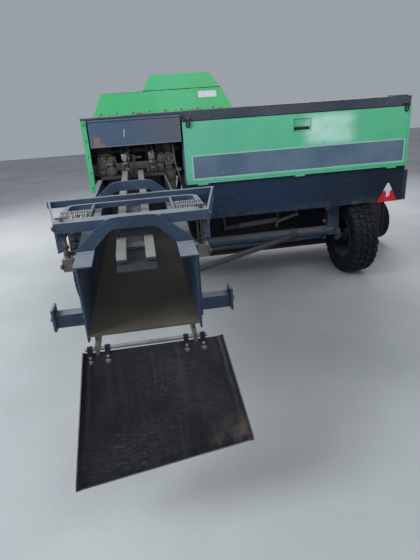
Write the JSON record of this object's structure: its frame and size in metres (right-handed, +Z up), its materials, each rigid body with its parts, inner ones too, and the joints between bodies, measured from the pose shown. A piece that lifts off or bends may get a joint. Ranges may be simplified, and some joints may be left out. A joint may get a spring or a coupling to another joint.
{
  "type": "small square baler",
  "caption": "Towed small square baler: bale channel with needles and knotters, twine box with drop lid, lifting tined pickup, flywheel, swinging drawbar with jack, folding bale chute.",
  "frame": {"origin": "on the ground under the middle of the machine's box", "axes": "+Y is the way it is towed, +X its right side, +Z up"},
  "size_m": [3.1466, 5.218, 1.749],
  "materials": {
    "green_paint": "faded semi-gloss green paint",
    "navy_paint": "dark blue-black paint, dusty",
    "slate_paint": "slate blue paint, dusty on top edges",
    "bare_steel": "worn bare steel",
    "dull_steel": "oily, dusty cast metal",
    "rusty_sheet": "rusty worn sheet",
    "black_sheet": "black sheet worn at its corners",
    "teal_paint": "dark teal paint",
    "tyre_rubber": "black rubber",
    "latch_rubber": "black rubber",
    "guard_plastic": "black plastic",
    "red_reflector": "red reflector, cracked"
  },
  "bodies": {
    "chassis": {"channel_left": "slate_paint", "channel_right": "slate_paint", "channel_roof": "slate_paint", "arch_front": "slate_paint", "arch_rear": "slate_paint", "tension_frame": "slate_paint", "front_frame": "slate_paint", "gearbox": "slate_paint", "flywheel_guard": "slate_paint", "lower_beam": "slate_paint", "twine_box": "navy_paint", "top_cover": "navy_paint", "end_panel": "navy_paint", "left_shield": "green_paint", "hood": "green_paint", "feeder_hood": "green_paint", "drive_case": "green_paint", "channel_floor": "bare_steel", "top_rails": "bare_steel", "plunger": "bare_steel", "tension_screws": "bare_steel", "feeder_table": "bare_steel", "knotter_shaft": "dull_steel", "knotter_left": "dull_steel", "knotter_right": "dull_steel", "feeder_forks": "dull_steel", "axle": "teal_paint", "reflector": "red_reflector"},
    "wheel_right": {"tyre_right": "tyre_rubber", "rim_right": "teal_paint"},
    "wheel_left": {"tyre_left": "tyre_rubber", "rim_left": "teal_paint"},
    "drawbar": {"drawbar": "slate_paint", "pto_shaft": "guard_plastic"},
    "jack": {"jack_leg": "bare_steel"},
    "flywheel": {"flywheel": "dull_steel"},
    "pickup": {"pickup_frame": "rusty_sheet", "pickup_strippers": "rusty_sheet"},
    "reel": {"pickup_reel": "bare_steel"},
    "guard": {"wind_guard": "bare_steel"},
    "gauge_wheel": {"gauge_wheel": "tyre_rubber"},
    "lid": {"twine_lid": "green_paint", "lid_latches": "latch_rubber"},
    "flap": {"knotter_flap": "slate_paint"},
    "needles": {"needle_yoke": "bare_steel"},
    "chute": {"chute": "black_sheet"}
  },
  "joints": [
    {"name": "wheel_right_spin", "type": "hinge", "parent": "chassis", "child": "wheel_right", "pos_m": [0.86125, -0.21699, 0.342], "axis": [1, 0, 0], "continuous": true},
    {"name": "wheel_left_spin", "type": "hinge", "parent": "chassis", "child": "wheel_left", "pos_m": [-1.46475, -0.21699, 0.342], "axis": [1, 0, 0], "continuous": true},
    {"name": "drawbar_swing", "type": "hinge", "parent": "chassis", "child": "drawbar", "pos_m": [-1.01875, 1.43401, 0.54], "axis": [0, 0, 1], "range_deg": [-20, 8]},
    {"name": "jack_slide", "type": "slide", "parent": "drawbar", "child": "jack", "axis": [0, 0, 1], "range_m": [0, 0.28]},
    {"name": "flywheel_spin", "type": "hinge", "parent": "chassis", "child": "flywheel", "pos_m": [-1.01875, 1.24401, 0.93], "axis": [0, 1, 0], "continuous": true},
    {"name": "pickup_lift", "type": "hinge", "parent": "chassis", "child": "pickup", "pos_m": [-0.67875, 0.30401, 0.6], "axis": [1, 0, 0], "range_deg": [-3, 12]},
    {"name": "reel_spin", "type": "hinge", "parent": "pickup", "child": "reel", "pos_m": [-0.67875, 0.48401, 0.33], "axis": [1, 0, 0], "continuous": true},
    {"name": "wind_guard_lift", "type": "hinge", "parent": "pickup", "child": "guard", "pos_m": [-0.67875, 0.40401, 0.575], "axis": [1, 0, 0], "range_deg": [0, 30]},
    {"name": "gauge_wheel_spin", "type": "hinge", "parent": "pickup", "child": "gauge_wheel", "pos_m": [1.47125, 0.50401, 0.245], "axis": [1, 0, 0], "continuous": true},
    {"name": "lid_open", "type": "hinge", "parent": "chassis", "child": "lid", "pos_m": [-0.61775, -0.40899, 0.944], "axis": [1, 0, 0], "range_deg": [0, 100]},
    {"name": "flap_open", "type": "hinge", "parent": "chassis", "child": "flap", "pos_m": [-1.01875, -0.40999, 1.461], "axis": [-1, 0, 0], "range_deg": [0, 100]},
    {"name": "needle_swing", "type": "hinge", "parent": "chassis", "child": "needles", "pos_m": [-1.01875, -0.67599, 0.87], "axis": [1, 0, 0], "range_deg": [0, 58]},
    {"name": "chute_fold", "type": "hinge", "parent": "chassis", "child": "chute", "pos_m": [-1.01875, -2.25999, 0.644], "axis": [-1, 0, 0], "range_deg": [0, 130]}
  ]
}
